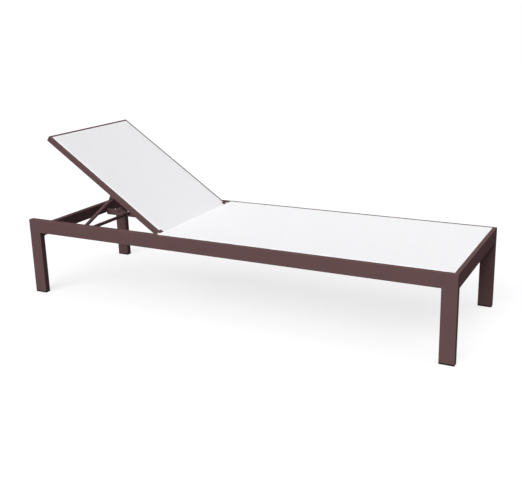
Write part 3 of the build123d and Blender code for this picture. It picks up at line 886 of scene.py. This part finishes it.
def domed_screw(box, head, shank_share, head_outside, thread_length=0.0, pitch=0.001):
    """A domed screw in the box of the CAD one that lies along Y, as verts, faces and matrix.

    Its head looks outwards or towards the lounger's middle. One without thread is plain.
    """
    low, high = box
    side = 1 if low.y + high.y > 0 else -1
    way = side if head_outside else -side
    top = high.y if way > 0 else low.y
    seat = Vector(((low.x + high.x) / 2, top - way * head, (low.z + high.z) / 2))
    radius = (high.x - low.x) / 2
    shank = radius * shank_share
    tip = head - (high.y - low.y)
    levels = [(shank * SHANK_TIP, tip, False)]
    levels += thread(shank, tip + THREAD_LEAD, tip + thread_length, pitch)
    levels += [(shank, tip + thread_length + THREAD_END, False), (shank, -SHANK_OVERLAP, False)]
    verts, faces = ring_stack(levels + domed_head(radius, head))
    return verts, faces, facing(seat, (0, way, 0))


def lock_nut(box, bore):
    """A lock nut with cut corners and a round collar, in the box of the CAD one along Y."""
    low, high = box
    side = 1 if low.y + high.y > 0 else -1
    height = high.y - low.y
    seat = Vector(((low.x + high.x) / 2, high.y if side > 0 else low.y, (low.z + high.z) / 2))
    flats = (high.z - low.z) / 2
    collar = flats * 0.86
    verts, faces = ring_stack([
        (bore, 0.0, False), (flats * 0.93, 0.0, False), (flats, height * 0.08, True),
        (flats, height * 0.60, True), (flats * 0.95, height * 0.68, False),
        (collar, height * 0.70, False), (collar, height * 0.92, False),
        (collar * 0.88, height, False), (bore, height, False),
    ], hollow=True)
    return verts, faces, facing(seat, (0, -side, 0))


def ground_fill(first, last, outward):
    """A prism that fills the rounding of a rail's lower edge, between two points of the edge."""
    rounding = bend((-TUBE_CORNER, TUBE_CORNER), TUBE_CORNER, 0, -pi / 2, CORNER_STEPS)
    section = [(0.0, 0.0)] + rounding
    outward = Vector(outward)
    verts = [
        Vector(point) + outward * out + Vector((0, 0, up))
        for point in (first, last) for out, up in section
    ]
    size = len(section)
    faces = [tuple(range(size)), tuple(range(2 * size - 1, size - 1, -1))]
    for k in range(size):
        after = (k + 1) % size
        faces.append((k, after, size + after, size + k))
    return verts, faces, Matrix.Identity(4)


def ground_welds():
    """Fills, ground flush, where the rails' rounded edges lie on the flat tops of the legs."""
    parts = []
    cross_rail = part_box("foot_rail")[0].x
    for node in ("leg_head_left", "leg_head_right", "leg_foot_left", "leg_foot_right"):
        low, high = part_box(node)
        top = high.z
        start, end = low.x + WELD_STOP, high.x - WELD_STOP
        for y, way in ((low.y, -1), (high.y, 1)):
            last = end if y * way > 0 else min(end, cross_rail)
            parts.append(ground_fill((start, y, top), (last, y, top), (0, way, 0)))
        if high.x > cross_rail:
            parts.append(ground_fill(
                (high.x, low.y + WELD_STOP, top), (high.x, high.y - WELD_STOP, top), (1, 0, 0)
            ))
    return parts


def weld_path(corners, closed):
    """Points round a rounded outline, each with its outward direction."""
    points = []
    for (x, y), (start, end) in corners:
        for k in range(CORNER_STEPS + 1):
            angle = start + (end - start) * k / CORNER_STEPS
            outward = Vector((cos(angle), sin(angle)))
            points.append((Vector((x, y)) + outward * TUBE_CORNER, outward))
    fine = []
    after = points[1:] + points[:1] if closed else points[1:]
    for (a, a_out), (b, b_out) in zip(points, after):
        count = max(1, round((b - a).length / BEAD_STEP))
        for k in range(count):
            share = k / count
            fine.append((a.lerp(b, share), a_out.lerp(b_out, share).normalized()))
    if not closed:
        fine.append(points[-1])
    return fine


def weld_bead(path, leg, closed):
    """Rippled fillet between a bar, along Z, and the plate at Z = 0 that it meets."""
    verts, faces = [], []
    for index, (point, outward) in enumerate(path):
        ripple = RIPPLE_HEIGHT * sin(tau * index / RIPPLE_SECTIONS)
        reach = leg * (1 + ripple + WAVER_HEIGHT * sin(index * WAVER_RATE))
        verts.append((point.x, point.y, 0))
        for k in range(BEAD_SIDES):
            share = k / (BEAD_SIDES - 1)
            bulge = 1 + BEAD_BULGE * sin(pi * share)
            out = reach * (1 - share) * bulge
            up = reach * share * bulge
            verts.append((point.x + outward.x * out, point.y + outward.y * out, up))
    size = BEAD_SIDES + 1
    count = len(path)
    for index in range(count if closed else count - 1):
        a = index * size
        b = ((index + 1) % count) * size
        for k in range(size):
            faces.append((a + k, a + (k + 1) % size, b + (k + 1) % size, b + k))
    if not closed:
        faces.append(tuple(range(size)))
        faces.append(tuple(reversed(range((count - 1) * size, count * size))))
    return verts, faces


def bar_end_outline(low, high, skipped=""):
    """Corners of a bar's end in X and Z, each with the angles of its rounding.

    They go round the end, and where one side is flush with its plate they leave it open.
    """
    x0, x1 = low.x + TUBE_CORNER, high.x - TUBE_CORNER
    z0, z1 = low.z + TUBE_CORNER, high.z - TUBE_CORNER
    bottom_right = ((x1, z0), (-pi / 2, 0))
    top_right = ((x1, z1), (0, pi / 2))
    top_left = ((x0, z1), (pi / 2, pi))
    bottom_left = ((x0, z0), (pi, 3 * pi / 2))
    if skipped == "top":
        return [(top_left[0], (pi, pi)), bottom_left, bottom_right, (top_right[0], (0, 0))]
    if skipped == "bottom":
        return [(bottom_right[0], (0, 0)), top_right, top_left, (bottom_left[0], (pi, pi))]
    return [bottom_right, top_right, top_left, bottom_left]


def rack_welds(sizes):
    """Beads round the head ends of the racks, on the head crossbar."""
    parts = []
    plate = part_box("head_crossbar")
    for node in ("rack_left", "rack_right"):
        low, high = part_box(node)
        lowest = Vector((low.y, 0, max(low.z, plate[0].z + RACK_WELD_LIFT)))
        corners = bar_end_outline(lowest, Vector((high.y, 0, high.z)), "bottom")
        verts, faces = weld_bead(weld_path(corners, False), sizes.weld_leg, False)
        # The bead's X and Y lie along the lounger's Y and Z, and its Z along the rack
        place = Matrix(((0, 0, 1, plate[1].x), (1, 0, 0, 0), (0, 1, 0, 0), (0, 0, 0, 1)))
        parts.append((verts, faces, place))
    return parts


def crossbar_welds(sizes):
    """Beads where the crossbars, braces and head rail meet the side rails."""
    parts = []
    wide = inner_face()
    for node, skipped in (
        ("head_crossbar", ""), ("seat_head_rail", "top"),
        ("seat_brace_head", "bottom"), ("seat_brace_foot", "bottom"),
    ):
        closed = not skipped
        path = weld_path(bar_end_outline(*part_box(node), skipped), closed)
        verts, faces = weld_bead(path, sizes.weld_leg, closed)
        for side in (1, -1):
            # The bead's X and Y lie along the lounger's X and Z, its Z points to the middle
            place = Matrix((
                (1, 0, 0, 0), (0, 0, -side, side * wide), (0, 1, 0, 0), (0, 0, 0, 1),
            ))
            parts.append((verts, faces, place))
    return parts


def bracket_welds(sizes):
    """Beads round the feet of the prop's brackets, under the backrest rails."""
    parts = []
    turn = backrest_turn(sizes)
    for node in ("prop_bracket_left", "prop_bracket_right"):
        places = seen_from(turn, node)
        foot = max(v.z for v in places)
        low = Vector((min(v.x for v in places), 0, min(v.y for v in places)))
        high = Vector((max(v.x for v in places), 0, max(v.y for v in places)))
        path = weld_path(bar_end_outline(low, high), True)
        verts, faces = weld_bead(path, sizes.bracket_weld, True)
        # The bead's X and Y lie along and across the backrest, its Z points down from the rail
        place = turn @ Matrix(((1, 0, 0, 0), (0, 1, 0, 0), (0, 0, -1, foot), (0, 0, 0, 1)))
        parts.append((verts, faces, place))
    return parts


# Studio


def soft_sun(name, way, strength, width):
    """A wide soft light from far away, in a direction."""
    light = bpy.data.lights.new(name, "SUN")
    light.energy = strength
    light.angle = width
    lamp = bpy.data.objects.new(name, light)
    lamp.rotation_euler = Vector(way).to_track_quat("Z", "Y").to_euler()
    bpy.context.scene.collection.objects.link(lamp)


def seen_rays(tree):
    """1 for what the camera sees, also in metal or through glass, and 0 for the light it sheds."""
    camera = Wire.node(tree, "ShaderNodeLightPath", output="Is Camera Ray")
    return camera.higher(camera.beside("Is Glossy Ray")).higher(
        camera.beside("Is Transmission Ray")
    )


def lay_floor(studio):
    """A plain floor that takes the lounger's shadow and looks white."""
    mesh = bpy.data.meshes.new("studio_floor")
    corners = ((-1, -1), (1, -1), (1, 1), (-1, 1))
    mesh.from_pydata(
        [(x * FLOOR_REACH, y * FLOOR_REACH, 0) for x, y in corners], [], [(0, 1, 2, 3)]
    )
    floor = bpy.data.objects.new("studio_floor", mesh)
    floor.location.z = -FLOOR_GAP
    bpy.context.scene.collection.objects.link(floor)
    material = bpy.data.materials.new("studio_floor")
    material.use_nodes = True
    tree = material.node_tree
    tree.nodes.clear()
    matt = Wire.node(tree, "ShaderNodeBsdfDiffuse", None, {"Color": rgba(studio.floor_colour)})
    glow = Wire.node(
        tree, "ShaderNodeEmission", None,
        {"Color": (1, 1, 1, 1), "Strength": seen_rays(tree) * studio.floor_glow},
    )
    both = Wire.node(tree, "ShaderNodeAddShader", None, {0: matt, 1: glow})
    Wire.node(tree, "ShaderNodeOutputMaterial", None, {"Surface": both}, output=None)
    mesh.materials.append(material)


def surround(studio):
    """A world that looks white and sheds a little even light."""
    world = bpy.data.worlds.new("studio_surroundings")
    world.use_nodes = True
    bpy.context.scene.world = world
    tree = world.node_tree
    tree.nodes.clear()
    seen = seen_rays(tree)
    sky = Wire.node(
        tree, "ShaderNodeBackground", None,
        {"Color": (1, 1, 1, 1), "Strength": seen * (1.0 - studio.sky) + studio.sky},
    )
    Wire.node(tree, "ShaderNodeOutputWorld", None, {"Surface": sky}, output=None)


def place_camera():
    """The camera that sees the lounger as the photograph does."""
    forward = Vector((
        -sin(CAMERA_YAW) * cos(CAMERA_PITCH), cos(CAMERA_YAW) * cos(CAMERA_PITCH),
        -sin(CAMERA_PITCH),
    ))
    level = Vector((cos(CAMERA_YAW), sin(CAMERA_YAW), 0))
    lift = level.cross(forward)
    right = level * cos(CAMERA_ROLL) + lift * sin(CAMERA_ROLL)
    up = lift * cos(CAMERA_ROLL) - level * sin(CAMERA_ROLL)
    lens = bpy.data.cameras.new("photo_camera")
    lens.sensor_fit = "HORIZONTAL"
    lens.sensor_width = SENSOR_WIDTH
    lens.lens = FOCAL_LENGTH
    lens.shift_x, lens.shift_y = LENS_SHIFT
    lens.clip_end = VIEW_END
    camera = bpy.data.objects.new("photo_camera", lens)
    turn = Matrix((right, up, -forward)).transposed().to_4x4()
    camera.matrix_world = Matrix.Translation(CAMERA_PLACE) @ turn
    scene = bpy.context.scene
    scene.collection.objects.link(camera)
    scene.camera = camera


# Operators


class LOUNGER_OT_coat(bpy.types.Operator):
    """Coats the tubes, racks and prop with brown powder"""

    bl_idname = "lounger.coat"
    bl_label = "Powder coat"

    def execute(self, context):
        finish = context.scene.lounger_finish
        dress(COATED, powder_coat(finish))
        welded_bead(finish)
        return {"FINISHED"}


class LOUNGER_OT_fittings(bpy.types.Operator):
    """Finishes glides, caps, buffers, bushes, splines and hinge plates"""

    bl_idname = "lounger.fittings"
    bl_label = "Fittings"

    def execute(self, context):
        finish = context.scene.lounger_finish
        black = list(finish.plastic_colour)
        dress(PLASTIC, moulded_plastic("black_plastic", black, roughness=0.55))
        dress(NYLON, moulded_plastic("natural_nylon", NYLON_COLOUR, roughness=0.45))
        dress(RUBBER, moulded_plastic("buffer_rubber", RUBBER_COLOUR, roughness=0.8))
        dress(SPLINES, moulded_plastic("spline_cord", SPLINE_COLOUR, roughness=0.5))
        dress(STEEL, turned_steel("stainless_steel", *STAINLESS_GREYS))
        turned_steel("blackened_steel", *BLACKENED_GREYS)
        return {"FINISHED"}


class LOUNGER_OT_slings(bpy.types.Operator):
    """Stretches the woven seat and backrest slings in their frames"""

    bl_idname = "lounger.slings"
    bl_label = "Slings"

    def execute(self, context):
        sizes = context.scene.lounger_sizes
        cloth = woven_sling(context.scene.lounger_finish, sizes)
        make_seat_sling(sizes, cloth)
        make_backrest_sling(sizes, cloth)
        return {"FINISHED"}


class LOUNGER_OT_fasteners(bpy.types.Operator):
    """Makes the screws of the hinge plates and the prop's bolts and lock nuts"""

    bl_idname = "lounger.fasteners"
    bl_label = "Fasteners"

    def execute(self, context):
        sizes = context.scene.lounger_sizes
        screws = [
            domed_screw(box, sizes.screw_head, PLATE_SCREW_SHANK, False)
            for box in shells("hinge_plate_screws")
        ]
        bolts = [
            domed_screw(
                box, sizes.bolt_head, PROP_BOLT_SHANK, True, PROP_THREAD, sizes.thread_pitch
            )
            for box in shells("prop_bolts")
        ]
        low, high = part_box("prop_bolts")
        bore = (high.z - low.z) / 4
        nuts = [lock_nut(box, bore) for box in shells("prop_nuts")]
        bright = dressed_with("stainless_steel")
        black = dressed_with("blackened_steel")
        for name, parts, node, body, metal, slot in (
            ("domed_plate_screws", screws, "hinge_plate_screws", "seat_frame", bright, "steel"),
            ("domed_prop_bolts", bolts, "prop_bolts", "backrest", black, "blackened_steel"),
            ("prop_lock_nuts", nuts, "prop_nuts", "backrest", black, "blackened_steel"),
        ):
            verts, faces = gathered(parts)
            piece = add_piece(name, verts, faces, metal, body)
            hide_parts(node)
        return {"FINISHED"}


class LOUNGER_OT_welds(bpy.types.Operator):
    """Lays the weld beads, and the welds ground flush at the tops of the legs"""

    bl_idname = "lounger.welds"
    bl_label = "Welds"

    def execute(self, context):
        sizes = context.scene.lounger_sizes
        coated = dressed_with("coated_weld")
        verts, faces = gathered(rack_welds(sizes) + crossbar_welds(sizes))
        add_piece("frame_welds", verts, faces, coated, "seat_frame")
        verts, faces = gathered(bracket_welds(sizes))
        add_piece("bracket_welds", verts, faces, coated, "backrest")
        smooth = dressed_with("powder_coat_brown")
        verts, faces = gathered(ground_welds())
        add_piece("ground_leg_welds", verts, faces, smooth, "seat_frame")
        return {"FINISHED"}


class LOUNGER_OT_studio(bpy.types.Operator):
    """Sets the floor, lights, white surroundings and the camera"""

    bl_idname = "lounger.studio"
    bl_label = "Studio"

    def execute(self, context):
        studio = context.scene.lounger_studio
        lay_floor(studio)
        surround(studio)
        soft_sun("key_light", KEY_WAY, studio.key, KEY_WIDTH)
        soft_sun("top_light", TOP_WAY, studio.top, TOP_WIDTH)
        place_camera()
        context.scene.view_settings.view_transform = "Standard"
        return {"FINISHED"}


class LOUNGER_PT_panel(bpy.types.Panel):
    """Shows the lounger's finish, size and studio settings and the buttons of its steps"""

    bl_idname = "LOUNGER_PT_panel"
    bl_label = "Sun lounger"
    bl_space_type = "VIEW_3D"
    bl_region_type = "UI"
    bl_category = "Lounger"

    def draw(self, context):
        layout = self.layout
        for group in GROUPS:
            values = getattr(context.scene, group)
            box = layout.box()
            for key in values.__annotations__:
                box.prop(values, key)
        for operator in OPERATORS:
            layout.operator(operator.bl_idname)


GROUPS = {
    "lounger_finish": LoungerFinish,
    "lounger_sizes": LoungerSizes,
    "lounger_studio": LoungerStudio,
}
OPERATORS = (
    LOUNGER_OT_coat, LOUNGER_OT_fittings, LOUNGER_OT_slings, LOUNGER_OT_fasteners,
    LOUNGER_OT_welds, LOUNGER_OT_studio,
)


def register():
    for name, group in GROUPS.items():
        bpy.utils.register_class(group)
        setattr(bpy.types.Scene, name, bpy.props.PointerProperty(type=group))
    for operator in OPERATORS:
        bpy.utils.register_class(operator)
    bpy.utils.register_class(LOUNGER_PT_panel)


def unregister():
    bpy.utils.unregister_class(LOUNGER_PT_panel)
    for operator in reversed(OPERATORS):
        bpy.utils.unregister_class(operator)
    for name, group in reversed(GROUPS.items()):
        delattr(bpy.types.Scene, name)
        bpy.utils.unregister_class(group)


def main():
    register()
    bpy.ops.lounger.coat()
    bpy.ops.lounger.fittings()
    bpy.ops.lounger.slings()
    bpy.ops.lounger.fasteners()
    bpy.ops.lounger.welds()
    bpy.ops.lounger.studio()
    bpy.context.view_layer.update()


if __name__ == "__main__":
    main()
